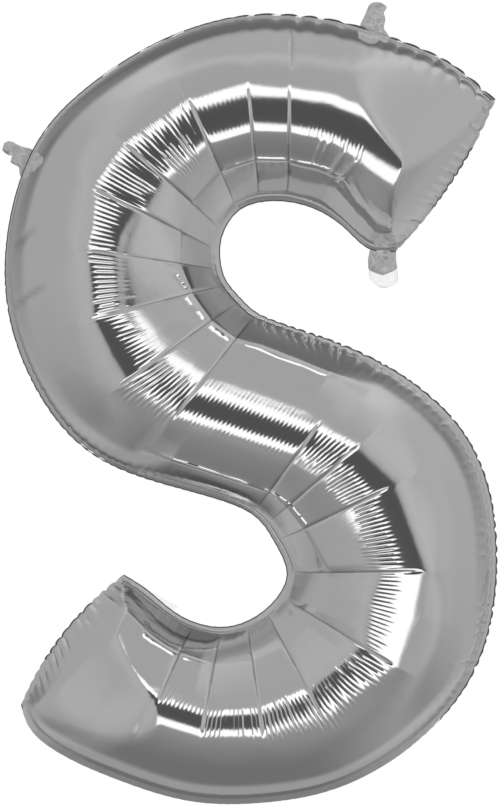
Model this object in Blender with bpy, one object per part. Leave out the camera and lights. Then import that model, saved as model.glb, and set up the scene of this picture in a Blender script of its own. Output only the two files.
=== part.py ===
"""Inflated foil letter balloon: a silver capital S of two heat-sealed film panels.

Metres. X is to the right, Z is up, and the letter's front faces -Y. The origin is the
middle of the envelope, on the plane of the seam. Run it with Blender 4.5:
blender --background --python part.py
"""

import math

import bmesh
import bpy
import numpy as np

# The envelope: its film wall, how far in from its outer foot the wall's inner foot is, and
# its welded seam.
WALL = 0.010
WALL_FOOT = 0.0115
SEAM_WIDTH = 0.007
SEAM_THICKNESS = 0.0010
TOUCH_GAP = 0.0003

# Each row is one fold across the stroke: where it meets the seam that runs over the top
# (x, z), then where it meets the seam that runs under the bottom (x, z). The first and
# the last rows are the two ends of the stroke.
FOLDS = (
    (0.266, 0.337, 0.157, 0.171),
    (0.214, 0.379, 0.128, 0.174),
    (0.151, 0.406, 0.102, 0.196),
    (0.096, 0.423, 0.072, 0.216),
    (0.045, 0.430, 0.041, 0.225),
    (-0.007, 0.429, 0.011, 0.225),
    (-0.091, 0.405, -0.013, 0.216),
    (-0.181, 0.349, -0.028, 0.197),
    (-0.238, 0.283, -0.034, 0.174),
    (-0.268, 0.173, -0.031, 0.149),
    (-0.256, 0.070, -0.024, 0.135),
    (-0.200, -0.027, -0.009, 0.118),
    (-0.116, -0.076, 0.010, 0.103),
    (-0.004, -0.112, 0.109, 0.067),
    (0.023, -0.142, 0.235, -0.030),
    (0.038, -0.177, 0.268, -0.171),
    (0.031, -0.200, 0.231, -0.307),
    (0.015, -0.218, 0.115, -0.404),
    (-0.006, -0.231, 0.020, -0.428),
    (-0.032, -0.237, -0.067, -0.427),
    (-0.064, -0.231, -0.145, -0.404),
    (-0.090, -0.216, -0.198, -0.381),
    (-0.114, -0.196, -0.239, -0.351),
    (-0.139, -0.180, -0.251, -0.322),
)
LAST_FOLD = len(FOLDS) - 1

# The creases that cross the crest: fold number, the crest's place across the stroke (-1 is
# the top seam, 1 the bottom seam) and its height over the seam's plane.
CREASES = (
    (0, 0.12, 0.080),
    (1, 0.08, 0.080),
    (2, 0.04, 0.080),
    (3, 0.01, 0.080),
    (4.05, 0.01, 0.080),
    (5.07, -0.01, 0.080),
    (6.07, -0.03, 0.079),
    (7.20, -0.04, 0.078),
    (8.10, -0.07, 0.079),
    (8.90, -0.12, 0.084),
    (9.95, -0.145, 0.088),
    (10.92, -0.13, 0.092),
    (11.85, -0.10, 0.092),
    (13.12, -0.075, 0.093),
    (13.55, -0.01, 0.0935),
    (14.08, 0.05, 0.090),
    (15.02, 0.16, 0.084),
    (16.09, 0.15, 0.0715),
    (17.00, 0.10, 0.064),
    (17.96, 0.12, 0.066),
    (19.02, 0.11, 0.068),
    (19.95, 0.09, 0.070),
    (20.70, 0.01, 0.069),
    (21.30, -0.10, 0.066),
    (22.00, -0.20, 0.061),
    (23.00, -0.40, 0.056),
)

# The crest's line is a smooth curve outside these folds and straight from crease to crease
# between them. So is the film from the crest to the wall that faces a bay.
CREASED = ((0, 3.0, 3.8, 19.9, 20.8, 23), (0, 0, 1, 1, 0, 0))
EASED_REACH = 0.45

# The film's tilt in degrees across the stroke, from the crest (0) to the seam (1). On the
# outer side it is a plain arc. On a side that faces a bay it is a flat facet, a rounded
# edge and a steep wall. The rounded edge is at EDGE_SHARE, and EDGE_PLACE puts it there in
# the letter, by fold number.
OUTER_TILT = ((0, 0.24, 0.5, 0.8, 0.97, 1), (0, 13.4, 28.9, 50.6, 75, 60))
BAY_TILT = (
    (0, 0.15, 0.24, 0.32, 0.45, 0.565, 0.605, 0.88, 0.94, 1),
    (0, 8.4, 15, 21.5, 26, 30, 55, 61, 50, 20),
)
EDGE_SHARE = 0.60
EDGE_PLACE = (
    (0, 3, 6, 8.8, 12, 12.5, 13, 14.2, 17, 19, 23),
    (0.56, 0.56, 0.57, 0.62, 0.65, 0.68, 0.72, 0.72, 0.64, 0.62, 0.66),
)

# How far each side faces a bay, from 0 to 1, by fold number.
BOTTOM_FACES_BAY = ((0, 12.9, 13.3, 23), (1, 1, 0, 0))
TOP_FACES_BAY = ((0, 11.7, 12.1, 23), (0, 0, 1, 1))

# The stroke's two ends, upper then lower: the fold, how far the seam bows out, and the flat
# facets that fall away to the letter's outer corner. A facet is a point of its ridge
# (x, z), the way it falls (x, z) and its tilt in degrees.
ENDS = (
    (0, 0.010, ((0.1520, 0.3060, 0.88, 0.47, 31), (0.1720, 0.2650, 0.97, 0.24, 31))),
    (LAST_FOLD, 0.013, ((-0.1130, -0.3040, -0.62, -0.785, 24), (-0.1515, -0.2400, -0.97, -0.242, 23))),
)
FACET_FOLDS = 2.95
FACET_RELEASE = 0.05
RIDGE_BLEND = 0.009

# Each end closes in a quarter ellipse that rises from its seam: how far in it reaches, how
# high it goes as a share of the crest, and how far in the bow of the seam fades out. It
# acts on the END_FOLDS folds next to the end.
END_REACH = 0.075
END_RISE = 1.12
END_LIFT = 4
END_LIFT_FROM = 0.85
END_FOLDS = 4
BOW_REACH = 0.1
END_BLEND = 0.1
END_BLEND_HEIGHTS = (0.0008, 0.04)

# The mesh: the rows' spacing along the stroke, finer near its ends, and the columns'
# places on one side of the crest.
ROW_SPACING = 0.0135
END_ROW_SPACING = 0.008
COLUMN_PLACES = (0.13, 0.26, 0.43, 0.58, 0.68, 0.79, 0.90, 0.97, 1)

# The two hang tabs: the stretch of the top seam that each stands on, in fold numbers,
# and the two corners of its outer edge. The left one curls forward.
TAB_THICKNESS = 0.0012
TOP_TAB_ROOT = (2.02, 2.56)
TOP_TAB_TIP = ((0.146, 0.440), (0.129, 0.439))
LEFT_TAB_ROOT = (8.01, 8.24)
LEFT_TAB_TIP = ((-0.2625, 0.2915), (-0.2705, 0.2850))
LEFT_TAB_CURL = 0.008

# The filler neck hangs from the bottom seam. It is a flat sleeve, welded along both
# sides, and the clear valve film lies in it and shows below its end.
NECK_ROOT = (0.98, 0.04)
NECK_THICKNESS = 0.0024
NECK_SLOT = 0.0012
NECK_WELD = 0.0012
NECK_CORNERS = ((0.1268, 0.150), (0.1588, 0.150))
VALVE_CORNERS = ((0.1290, 0.1385), (0.1566, 0.1385))
VALVE_THICKNESS = 0.0006
NECK_END_BULGE = 0.003
VALVE_END_BULGE = 0.0065

# The clear corner of film that stands out of the seam in the lower bay.
FLAP_ROOT = (22.0, 20.85)
FLAP_CORNERS = ((-0.1115, -0.1955), (-0.0800, -0.2145))
FLAP_THICKNESS = 0.0006

SILVER = (0.62, 0.63, 0.65, 1.0)
CLEAR = (0.86, 0.88, 0.90, 1.0)


def clear_scene():
    """Remove every object of the startup scene."""
    for item in list(bpy.data.objects):
        bpy.data.objects.remove(item)


def finish(name, colour, roughness, metallic, alpha=1.0):
    """A Principled material of one colour."""
    made = bpy.data.materials.new(name)
    made.use_nodes = True
    shader = made.node_tree.nodes["Principled BSDF"]
    shader.inputs["Base Color"].default_value = colour
    shader.inputs["Roughness"].default_value = roughness
    shader.inputs["Metallic"].default_value = metallic
    shader.inputs["Alpha"].default_value = alpha
    return made


def add_solid(name, points, faces, material):
    """A smooth-shaded closed mesh object, its faces turned outward."""
    mesh = bpy.data.meshes.new(name)
    mesh.from_pydata([tuple(point) for point in points], [], faces)
    shape = bmesh.new()
    shape.from_mesh(mesh)
    bmesh.ops.recalc_face_normals(shape, faces=shape.faces)
    shape.to_mesh(mesh)
    shape.free()
    if material:
        mesh.materials.append(material)
    mesh.shade_smooth()
    mesh.set_sharp_from_angle(angle=math.radians(40))
    solid = bpy.data.objects.new(name, mesh)
    bpy.context.scene.collection.objects.link(solid)
    return solid


def smooth_curve(knots):
    """The natural cubic spline through the knots, as a function of the knot number.

    The step from knot to knot is the square root of their distance, which keeps the
    curve from overshooting where near knots follow far ones.
    """
    knots = np.array(knots, float)
    count = len(knots)
    step = np.linalg.norm(np.diff(knots, axis=0), axis=1) ** 0.5
    slope = np.diff(knots, axis=0) / step[:, None]
    system = np.eye(count)
    change = np.zeros((count, 2))
    for k in range(1, count - 1):
        system[k, k - 1 : k + 2] = step[k - 1], 2 * (step[k - 1] + step[k]), step[k]
        change[k] = 6 * (slope[k] - slope[k - 1])
    bend = np.linalg.solve(system, change)

    def curve(number):
        number = np.asarray(number, float)
        k = np.clip(number.astype(int), 0, count - 2)
        b = (number - k)[..., None]
        a = 1 - b
        part = step[k][..., None] ** 2 / 6
        return (
            a * knots[k]
            + b * knots[k + 1]
            + ((a**3 - a) * bend[k] + (b**3 - b) * bend[k + 1]) * part
        )

    return curve


top_seam = smooth_curve([fold[:2] for fold in FOLDS])
bottom_seam = smooth_curve([fold[2:] for fold in FOLDS])


CREASE_NUMBERS, CREST_PLACES, CREST_HEIGHTS = np.array(CREASES).T


def by_number(table, number):
    """A value for each row, from the fold numbers and the values at them."""
    return np.interp(number, *table)[:, None]


def straight(seam, number):
    """The seam's points joined by straight lines from crease to crease."""
    corners = seam(CREASE_NUMBERS).T
    return np.stack([np.interp(number, CREASE_NUMBERS, part) for part in corners], axis=-1)


def along_crest(values, number):
    """A value of the creases at each row, straight between creases where CREASED is 1."""
    table = (CREASE_NUMBERS, values)
    steps = np.linspace(-EASED_REACH, EASED_REACH, 9)
    smooth = np.mean([by_number(table, number + step) for step in steps], axis=0)
    share = by_number(CREASED, number)
    return smooth * (1 - share) + by_number(table, number) * share


def middle(number):
    """The middle of the stroke."""
    return (top_seam(number) + bottom_seam(number)) / 2


FINE = np.linspace(0, LAST_FOLD, 1200)
WALKED = np.concatenate(
    [[0], np.cumsum(np.linalg.norm(np.diff(middle(FINE), axis=0), axis=1))]
)
LENGTH = WALKED[-1]


def unit(vectors):
    """The same vectors, one long."""
    return vectors / np.linalg.norm(vectors, axis=-1, keepdims=True)


def crossed(a, b):
    """The size of the cross product of plane vectors."""
    return np.abs(a[..., 0] * b[..., 1] - a[..., 1] * b[..., 0])


def direction(curve, number):
    """The unit tangent of a curve."""
    near = np.clip(number, 0.01, LAST_FOLD - 0.01)
    return unit(curve(near + 0.01) - curve(near - 0.01))


def row_numbers():
    """The mesh's rows, as fold numbers: every crease, and even steps between creases."""
    rows = []
    for low, high in zip(CREASE_NUMBERS[:-1], CREASE_NUMBERS[1:]):
        sides = [np.linalg.norm(seam(high) - seam(low)) for seam in (top_seam, bottom_seam)]
        walked = np.interp([low, high], FINE, WALKED)
        from_end = min(walked[0], LENGTH - walked[1])
        spacing = END_ROW_SPACING if from_end < END_REACH / 2 else ROW_SPACING
        steps = max(2, round((walked[1] - walked[0] + max(sides)) / 2 / spacing))
        rows.extend(low + (high - low) * np.arange(steps) / steps)
    return np.array(rows + [LAST_FOLD])


ROWS = row_numbers()
ACROSS = np.concatenate([-np.array(COLUMN_PLACES[::-1]), [0], COLUMN_PLACES])


def section(share, tilt):
    """The height of a section, from 1 at the crest to 0 at the seam.

    It is the sum of the tilt's tangent from the seam up to this share of the way.
    """
    fine = np.linspace(0, 1, 1001)
    slope = np.tan(np.radians(np.interp(fine, *tilt)))
    fallen = np.concatenate([[0], np.cumsum((slope[1:] + slope[:-1]) / 2)])
    return 1 - np.interp(share, fine, fallen / fallen[-1])


def smooth_step(value, low, high):
    """0 below low and 1 above high, with a smooth step between."""
    share = np.clip((value - low) / (high - low), 0, 1)
    return share * share * (3 - 2 * share)


def smaller(a, b, blend):
    """The smaller of two heights, rounded over where they are nearly the same."""
    near = np.maximum(blend - np.abs(a - b), 0) / blend
    return np.minimum(a, b) - near**2 * blend / 4


def close_end(knot, bow, facets, number, place, plan, height, depth, inset):
    """Bow one end's seam out, cut its facets and close the envelope down to the seam.

    A facet lets go of the envelope FACET_FOLDS folds from the end.
    """
    corner, other = top_seam(knot), bottom_seam(knot)
    seam = unit(other - corner)
    inward = np.array([-seam[1], seam[0]])
    inward = inward * np.sign(np.dot(middle(abs(knot - 0.5)) - corner, inward))
    folds = np.abs(number - knot)[:, None]
    elsewhere = folds > END_FOLDS
    far = (plan - corner) @ inward + elsewhere
    bowed = bow * (1 - place**2) * np.clip(1 - far / BOW_REACH, 0, 1) ** 2
    plan = plan - inward * bowed[..., None]
    release = FACET_RELEASE * np.maximum(folds - FACET_FOLDS, 0) + elsewhere
    for x, z, way_x, way_z, tilt in facets:
        fallen = (plan - (x, z)) @ unit(np.array([way_x, way_z])) * math.tan(math.radians(tilt))
        height = smaller(height, depth - fallen + release, RIDGE_BLEND)
    far = np.maximum(far - inset, 0) / END_REACH
    rise = np.sqrt(1 - (1 - np.clip(far, 0, 1)) ** 2)
    cap = depth * (END_RISE * rise + END_LIFT * np.maximum(far - END_LIFT_FROM, 0))
    return plan, smaller(height, cap, END_BLEND * np.clip(height, *END_BLEND_HEIGHTS))


def surface(inset, drop):
    """The film's points, by row and column, inset from the outline and lowered by drop.

    Returns (x, z) in the letter's plane and the height over the seam's plane. Across
    the stroke the section falls from the crest to both seams with the tilts of
    OUTER_TILT and BAY_TILT. Along it, the film over the crest and on the side that faces
    a bay runs straight from crease to crease.
    """
    walked = np.interp(ROWS, FINE, WALKED)
    walked = inset + walked * (LENGTH - 2 * inset) / LENGTH
    number = np.interp(walked, WALKED, FINE)
    crest = along_crest(CREST_PLACES, number)
    depth = along_crest(CREST_HEIGHTS, number) - drop
    place = ACROSS + crest * (1 - ACROSS**2) ** 2
    top, bottom = top_seam(number), bottom_seam(number)
    span = bottom - top
    width = np.linalg.norm(span, axis=1)
    line = span / width[:, None]
    first = 2 * inset / width / crossed(direction(top_seam, number), line)
    last = 2 * inset / width / crossed(direction(bottom_seam, number), line)
    across = -1 + first[:, None] + (place + 1) / 2 * (2 - first - last)[:, None]

    low, high = by_number(BOTTOM_FACES_BAY, number), by_number(TOP_FACES_BAY, number)
    to_bay = np.where(place >= 0, low, high)
    outer_side = smooth_step(-np.abs(place), -0.62, -0.36)
    bay_side = smooth_step(-np.abs(place), -0.99, -0.80)
    crown = (outer_side + (bay_side - outer_side) * to_bay) * by_number(CREASED, number)
    crown = crown[..., None]
    top = top[:, None] * (1 - crown) + straight(top_seam, number)[:, None] * crown
    bottom = bottom[:, None] * (1 - crown) + straight(bottom_seam, number)[:, None] * crown
    share = (across[..., None] + 1) / 2
    plan = top * (1 - share) + bottom * share

    off = np.abs(place - crest * (1 - place**2) ** 2)
    edge = by_number(EDGE_PLACE, number)
    beyond = 1 - (1 - off) * (1 - EDGE_SHARE) / (1 - edge)
    bay_share = np.where(off < edge, off * EDGE_SHARE / edge, beyond)
    arc, facet = section(off, OUTER_TILT), section(bay_share, BAY_TILT)
    height = depth * (arc + (facet - arc) * to_bay)
    for knot, bow, facets in ENDS:
        plan, height = close_end(
            knot, bow, facets, number, place, plan, height, depth, inset
        )
    return plan, np.maximum(height, 0)


def around(rows, columns):
    """The grid's outer indices, once round."""
    return (
        [(0, j) for j in range(columns)]
        + [(i, columns - 1) for i in range(1, rows)]
        + [(rows - 1, j) for j in range(columns - 2, -1, -1)]
        + [(i, 0) for i in range(rows - 2, 0, -1)]
    )


def film_panel(name, side, material):
    """One half of the envelope: a shell with its strip of the welded seam.

    side is -1 for the front and 1 for the back. The shell is open towards the seam's
    plane, where it lies against the other half.
    """
    outline, _ = surface(0, 0)
    outer, high = surface(SEAM_WIDTH, 0)
    inner, low = surface(SEAM_WIDTH + WALL_FOOT, WALL)
    rows, columns = high.shape
    ring = around(rows, columns)
    rim = np.array([outline[i, j] for i, j in ring])
    base = TOUCH_GAP / 2

    def placed(plan, height):
        plan, height = plan.reshape(-1, 2), np.broadcast_to(height, plan.shape[:-1])
        return np.stack([plan[:, 0], side * height.reshape(-1), plan[:, 1]], axis=1)

    points = np.concatenate(
        [
            placed(outer, high + SEAM_THICKNESS),
            placed(inner, low + base),
            placed(rim, SEAM_THICKNESS),
            placed(rim, base),
        ]
    )
    faces = []
    for start in (0, rows * columns):
        for i in range(rows - 1):
            for j in range(columns - 1):
                a = start + i * columns + j
                faces.append((a, a + 1, a + columns + 1, a + columns))
    edge = [i * columns + j for i, j in ring]
    inner_edge = [rows * columns + k for k in edge]
    rim_top = [2 * rows * columns + k for k in range(len(ring))]
    rim_base = [k + len(ring) for k in rim_top]
    for one, other in ((edge, rim_top), (rim_top, rim_base), (rim_base, inner_edge)):
        for k in range(len(ring)):
            after = (k + 1) % len(ring)
            faces.append((one[k], one[after], other[after], other[k]))
    return add_solid(name, points, faces, material)


def seam_stretch(column, root):
    """The outline's own points from one fold number to another, just off the seam."""
    outline, _ = surface(0, 0)
    points = outline[:, column]
    low, high = sorted(root)
    numbers = np.concatenate([[low], ROWS[(ROWS > low) & (ROWS < high)], [high]])
    stretch = np.stack([np.interp(numbers, ROWS, points[:, k]) for k in (0, 1)], axis=1)
    along = unit(stretch[-1] - stretch[0])
    out = np.array([-along[1], along[0]])
    inside = middle(np.array([(low + high) / 2]))[0]
    out *= np.sign(np.dot(stretch[0] - inside, out))
    stretch = stretch + out * TOUCH_GAP
    return stretch if root[0] < root[1] else stretch[::-1]


def spread(points, count):
    """A line of evenly spaced points through a few given ones."""
    points = np.asarray(points, float)
    walked = np.concatenate(
        [[0], np.cumsum(np.linalg.norm(np.diff(points, axis=0), axis=1))]
    )
    even = np.linspace(0, walked[-1], count)
    return np.stack([np.interp(even, walked, points[:, k]) for k in (0, 1)], axis=1)


def tongue(root, corners, bulge, curl, rows):
    """A film tongue's middle surface, from its root line to a rounded outer edge."""
    count = len(root)
    tip = spread(corners, count)
    along = unit(tip[-1] - tip[0])
    out = np.array([-along[1], along[0]])
    out *= np.sign(np.dot(tip.mean(axis=0) - root.mean(axis=0), out))
    place = np.linspace(-1, 1, count)
    tip = tip + out * (bulge * np.sqrt(np.clip(1 - place**2, 0, 1)))[:, None]
    share = np.linspace(0, 1, rows)[:, None, None]
    plan = root[None] * (1 - share) + tip[None] * share
    depth = np.broadcast_to(-curl * share[..., 0] ** 2, plan.shape[:2])
    return np.stack([plan[..., 0], depth, plan[..., 1]], axis=-1)


def film_slab(name, middle_surface, thickness, material):
    """A closed slab of even thickness about a surface of points."""
    down = np.gradient(middle_surface, axis=0)
    over = np.gradient(middle_surface, axis=1)
    normal = unit(np.cross(down, over))
    rows, columns = normal.shape[:2]
    points = np.concatenate(
        [
            (middle_surface + normal * thickness / 2).reshape(-1, 3),
            (middle_surface - normal * thickness / 2).reshape(-1, 3),
        ]
    )
    faces = []
    for start in (0, rows * columns):
        for i in range(rows - 1):
            for j in range(columns - 1):
                a = start + i * columns + j
                faces.append((a, a + 1, a + columns + 1, a + columns))
    edge = [i * columns + j for i, j in around(rows, columns)]
    for k in range(len(edge)):
        a, b = edge[k], edge[(k + 1) % len(edge)]
        faces.append((a, b, b + rows * columns, a + rows * columns))
    return add_solid(name, points, faces, material)


def hang_tab(name, root, corners, curl, material):
    """A tab of the two films, cut as one piece with the seam."""
    line = spread(seam_stretch(0, root), 7)
    line[[0, -1]] = seam_stretch(0, root)[[0, -1]]
    return film_slab(name, tongue(line, corners, 0.002, curl, 5), TAB_THICKNESS, material)


def filler_neck(material):
    """The flat foil sleeve that the balloon is filled through."""
    line = spread(seam_stretch(-1, NECK_ROOT), 9)
    sleeve = film_slab(
        "filler_neck",
        tongue(line, NECK_CORNERS, NECK_END_BULGE, 0, 4),
        NECK_THICKNESS,
        material,
    )
    left, right = NECK_CORNERS[0][0] + NECK_WELD, NECK_CORNERS[1][0] - NECK_WELD
    above, below = line[:, 1].max() + 0.01, VALVE_CORNERS[0][1] - 0.01
    top = np.array([(left, above), (right, above)])
    slot = film_slab(
        "neck_slot",
        tongue(top, ((left, below), (right, below)), 0, 0, 2),
        NECK_SLOT,
        None,
    )
    slot.hide_render = True
    slot.display_type = "WIRE"
    cut = sleeve.modifiers.new("slot", "BOOLEAN")
    cut.operation = "DIFFERENCE"
    cut.object = slot
    return sleeve


def valve_film(material):
    """The clear film inside the neck, which closes it once the balloon is full."""
    line = spread(seam_stretch(-1, NECK_ROOT), 9)
    line[:, 0] = np.linspace(VALVE_CORNERS[0][0], VALVE_CORNERS[1][0], 9)
    line[:, 1] = line[:, 1].min() - 0.001
    shape = tongue(line, VALVE_CORNERS, VALVE_END_BULGE, 0, 5)
    return film_slab("valve_film", shape, VALVE_THICKNESS, material)


def bay_flap(material):
    """A clear corner of film that the seam left standing in the lower bay."""
    line = spread(seam_stretch(0, FLAP_ROOT), 6)
    shape = tongue(line, FLAP_CORNERS, 0, 0, 3)
    return film_slab("bay_flap", shape, FLAP_THICKNESS, material)


clear_scene()
foil = finish("silver_foil", SILVER, 0.12, 1.0)
foil_back = finish("silver_foil_back", SILVER, 0.14, 1.0)
crumpled = finish("crumpled_foil", SILVER, 0.3, 1.0)
clear = finish("clear_film", CLEAR, 0.1, 0.0, alpha=0.4)
film_panel("front_panel", -1, foil)
film_panel("back_panel", 1, foil_back)
hang_tab("top_hang_tab", TOP_TAB_ROOT, TOP_TAB_TIP, 0, crumpled)
hang_tab("left_hang_tab", LEFT_TAB_ROOT, LEFT_TAB_TIP, LEFT_TAB_CURL, crumpled)
filler_neck(crumpled)
valve_film(clear)
bay_flap(clear)
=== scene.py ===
import math

import bpy
import numpy as np
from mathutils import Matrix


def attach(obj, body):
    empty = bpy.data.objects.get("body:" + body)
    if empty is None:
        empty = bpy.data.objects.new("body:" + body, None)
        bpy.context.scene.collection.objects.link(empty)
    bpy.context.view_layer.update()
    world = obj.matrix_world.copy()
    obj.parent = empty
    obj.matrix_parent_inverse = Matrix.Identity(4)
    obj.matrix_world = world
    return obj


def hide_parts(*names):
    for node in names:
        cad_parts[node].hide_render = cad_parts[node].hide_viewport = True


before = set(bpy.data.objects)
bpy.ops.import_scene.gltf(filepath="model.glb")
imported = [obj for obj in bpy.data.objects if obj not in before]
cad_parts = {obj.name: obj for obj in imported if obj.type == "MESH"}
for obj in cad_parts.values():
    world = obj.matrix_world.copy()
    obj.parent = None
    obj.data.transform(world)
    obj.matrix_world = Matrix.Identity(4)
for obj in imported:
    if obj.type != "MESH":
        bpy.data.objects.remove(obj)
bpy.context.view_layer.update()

# Front and back film panels
#
# Two sheets of aluminised polyester film, cut to the letter's outline and heat-sealed round
# the edge. Gas pushes them apart into a tube. The film can't stretch, so it folds across the
# stroke, runs straight from fold to fold on the bay side, and gathers into ribs on the crest.

# One row for each fold across the stroke: where it meets the seam that runs over the top
# (x, z), then the seam that runs under the bottom (x, z), in metres.
FOLDS = (
    (0.266, 0.337, 0.157, 0.171),
    (0.214, 0.379, 0.128, 0.174),
    (0.151, 0.406, 0.102, 0.196),
    (0.096, 0.423, 0.072, 0.216),
    (0.045, 0.43, 0.041, 0.225),
    (-0.007, 0.429, 0.011, 0.225),
    (-0.091, 0.405, -0.013, 0.216),
    (-0.181, 0.349, -0.028, 0.197),
    (-0.238, 0.283, -0.034, 0.174),
    (-0.268, 0.173, -0.031, 0.149),
    (-0.256, 0.07, -0.024, 0.135),
    (-0.2, -0.027, -0.009, 0.118),
    (-0.116, -0.076, 0.01, 0.103),
    (-0.004, -0.112, 0.109, 0.067),
    (0.023, -0.142, 0.235, -0.03),
    (0.038, -0.177, 0.268, -0.171),
    (0.031, -0.2, 0.231, -0.307),
    (0.015, -0.218, 0.115, -0.404),
    (-0.006, -0.231, 0.02, -0.428),
    (-0.032, -0.237, -0.067, -0.427),
    (-0.064, -0.231, -0.145, -0.404),
    (-0.09, -0.216, -0.198, -0.381),
    (-0.114, -0.196, -0.239, -0.351),
    (-0.139, -0.18, -0.251, -0.322),
)
LAST_FOLD = len(FOLDS) - 1


def spline(knots):
    """Natural cubic spline through the knots, by knot number, steps as root of distance."""
    step = np.linalg.norm(np.diff(knots, axis=0), axis=1) ** 0.5
    slope = np.diff(knots, axis=0) / step[:, None]
    system = np.eye(len(knots))
    change = np.zeros_like(knots)
    for k in range(1, len(knots) - 1):
        system[k, k - 1 : k + 2] = step[k - 1], 2 * (step[k - 1] + step[k]), step[k]
        change[k] = 6 * (slope[k] - slope[k - 1])
    bend = np.linalg.solve(system, change)

    def curve(number):
        number = np.asarray(number, float)
        k = np.clip(number.astype(int), 0, len(knots) - 2)
        b = (number - k)[..., None]
        a = 1 - b
        bow = ((a**3 - a) * bend[k] + (b**3 - b) * bend[k + 1]) * step[k][..., None] ** 2 / 6
        return a * knots[k] + b * knots[k + 1] + bow

    return curve


top_seam = spline(np.array(FOLDS)[:, :2])
bottom_seam = spline(np.array(FOLDS)[:, 2:])


def middle(number):
    """The middle of the stroke."""
    return (top_seam(number) + bottom_seam(number)) / 2


def running(points):
    """Length along a line of points, from 0."""
    return np.append(0, np.cumsum(np.linalg.norm(np.diff(points, axis=0), axis=1)))


# How far along the stroke's middle each of many close fold numbers lies, in metres.
FINE = np.linspace(0, LAST_FOLD, 2400)
WALKED = running(middle(FINE))
LENGTH = WALKED[-1]

# Where the creases run over the crest: fold number, the crest's place across the stroke
# (-1 is the top seam, 1 the bottom seam) and its height over the seam's plane, in mm.
CREASES = (
    (0, -0.02, 80), (1, 0, 80), (2, 0.005, 80), (3, 0.01, 80),
    (4.05, 0.01, 80), (5.07, -0.01, 80), (6.07, -0.03, 79), (7.2, -0.04, 78),
    (8.1, -0.07, 79), (8.9, -0.12, 84), (9.95, -0.145, 88), (10.92, -0.13, 92),
    (11.85, -0.1, 92), (13.12, -0.075, 93), (13.55, -0.01, 93.5), (14.08, 0.05, 90),
    (15.02, 0.16, 84), (16.09, 0.15, 71.5), (17, 0.1, 64), (17.96, 0.12, 66),
    (19.02, 0.11, 68), (19.95, 0.09, 70), (20.5, 0.1, 71), (21.3, 0.12, 62),
    (22, 0.1, 52.5), (23, 0, 38),
)
EDGE, CREST, HEIGHT = np.array(CREASES).T

# The rows of the film's grid: the same whole number of ribs between one crease and the next.
# Each row has its fold number, its block between two creases, its share of the way from the
# block's first crease to the next, and its place in the run of ribs.
RIB_PITCH = 0.0047
ROWS_PER_RIB = 4
RIB_COUNTS = np.maximum(2, np.round(np.diff(np.interp(EDGE, FINE, WALKED)) / RIB_PITCH)).astype(int)
BLOCK = np.append(np.repeat(np.arange(len(RIB_COUNTS)), RIB_COUNTS * ROWS_PER_RIB), len(EDGE) - 2)
SHARE = np.concatenate([np.arange(n * ROWS_PER_RIB) / (n * ROWS_PER_RIB) for n in RIB_COUNTS] + [[1.0]])
ROWS = EDGE[BLOCK] + SHARE * (EDGE[BLOCK + 1] - EDGE[BLOCK])
RIB_PHASE = np.append(0, np.cumsum(RIB_COUNTS))[BLOCK] + SHARE * RIB_COUNTS[BLOCK]


def by_number(table, number):
    """A value for each row, from a list of fold numbers and a list of values."""
    return np.interp(number, *table)[:, None]


def mixed(a, b, share):
    """a where the share is 0, b where it is 1."""
    return a + (b - a) * share


def straight(values):
    """Values at the creases, carried in a straight line from one crease to the next."""
    values = values.reshape(len(EDGE), -1)
    return mixed(values[BLOCK], values[BLOCK + 1], SHARE[:, None])


def eased(values, number):
    """Values at the creases, carried on in a curve: the mean over half a fold on either side."""
    shifts = np.linspace(-0.45, 0.45, 9)
    return np.mean([np.interp(number + shift, EDGE, values) for shift in shifts], axis=0)[:, None]


def bell(x, width):
    """1 at 0, falling off as a bell curve of this width."""
    return np.exp(-((x / width) ** 2))


def ramp(x, low, high):
    """0 below low and 1 above high, with a smooth step between."""
    t = np.clip((x - low) / (high - low), 0, 1)
    return t * t * (3 - 2 * t)


def fade(x, low, high):
    """1 below low and 0 above high, with a smooth step between."""
    return 1 - ramp(x, low, high)


# The columns of the grid, as angles of an arc across the stroke whose sine gives the place.
# The crest's columns take every row, the others every other row.
COLUMNS = 97
RIM_ANGLE = math.radians(75)
CREST_ANGLE = math.radians(23)
CHINE_PLACE = 0.6


def columns():
    """Angles of the columns, and how many lie on either side of the crest's own.

    They are as close as a sum says: 1, and 1.2 more over the crest, up to 7 more at the
    chine and up to 1.5 more toward the seam.
    """
    fine = np.linspace(-RIM_ANGLE, RIM_ANGLE, 4001)
    chine_angle = math.asin(CHINE_PLACE * math.sin(RIM_ANGLE))
    crowd = 1 + 1.2 * fade(np.abs(fine), CREST_ANGLE - 0.05, CREST_ANGLE + 0.05)
    crowd += 7.0 * bell(np.abs(fine) - chine_angle, 0.05)
    crowd += 1.5 * ramp(np.abs(fine), RIM_ANGLE - 0.25, RIM_ANGLE)
    total = np.cumsum(crowd)
    angles = np.interp(np.linspace(total[0], total[-1], COLUMNS), total, fine)
    return angles, int((angles < -CREST_ANGLE).sum())


ANGLES, SIDE_COLUMNS = columns()
BASE = np.sin(ANGLES) / math.sin(RIM_ANGLE)

# The film's tilt across the stroke, in degrees, from the crest (0) to the seam (1). The
# outer side is a plain arc. The bay side is a flat facet, a rounded chine and a flat wall.
OUTER_TILT = ((0, 0.12, 0.205, 0.5, 0.8, 0.97, 1), (0, 6.7, 13.4, 29.5, 50.6, 75, 60))
BAY_TILT = (
    (0, 0.15, 0.24, 0.32, 0.45, 0.565, 0.605, 0.88, 0.94, 1),
    (0, 8.4, 15, 21.5, 26, 30, 55, 61, 50, 20),
)

# Near the upper end the bay side has no chine, and turns evenly all the way.
WEDGE_TILT = ((0, 0.19, 0.36, 0.6, 0.9, 0.96, 1), (0, 7.6, 15.2, 38, 64, 55, 20))
IN_WEDGE = ((0, 1.9, 2.8, 23), (1, 1, 0, 0))

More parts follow.
